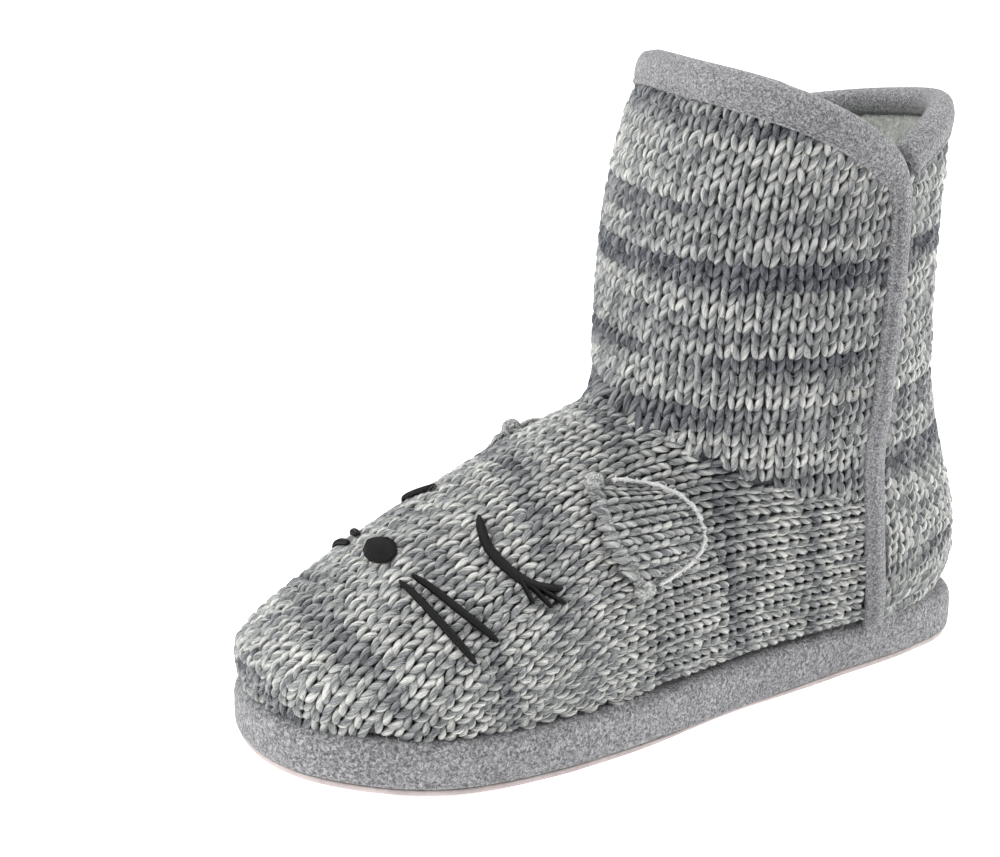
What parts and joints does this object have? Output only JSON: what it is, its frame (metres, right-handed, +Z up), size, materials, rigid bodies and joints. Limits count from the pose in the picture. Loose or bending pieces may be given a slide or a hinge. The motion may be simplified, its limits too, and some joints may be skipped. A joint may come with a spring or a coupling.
{
  "type": "bootie slipper",
  "caption": "Ankle-high knitted bootie slipper with a tulip collar, suede binding, a suede-wrapped platform sole, and a sleeping animal face with ears on the toe",
  "frame": {"origin": "on the floor, under the middle of the whole slipper", "axes": "-Y toe, +Y heel, +X the wearer's left (outer side), +Z up"},
  "size_m": [0.1072, 0.2688, 0.2085],
  "materials": {
    "outsole_rubber": "matte moulded sheet",
    "platform_suede": "short nap suede",
    "fleece": "short pile fleece",
    "upper_knit": "chunky marled stockinette knit",
    "binding_suede": "short nap suede strip",
    "ear_knit": "chunky marled knit",
    "embroidery": "satin stitch thread"
  },
  "bodies": {
    "root": {"outsole": "outsole_rubber", "midsole": "platform_suede", "insole": "fleece", "upper": "upper_knit", "front_collar_binding": "binding_suede", "back_collar_binding": "binding_suede", "side_binding_outer": "binding_suede", "side_binding_inner": "binding_suede", "ear_outer": "ear_knit", "ear_inner": "ear_knit", "eye_outer": "embroidery", "eye_inner": "embroidery", "front_whisker_outer": "embroidery", "front_whisker_inner": "embroidery", "back_whisker_outer": "embroidery", "back_whisker_inner": "embroidery", "nose": "embroidery"}
  },
  "joints": []
}
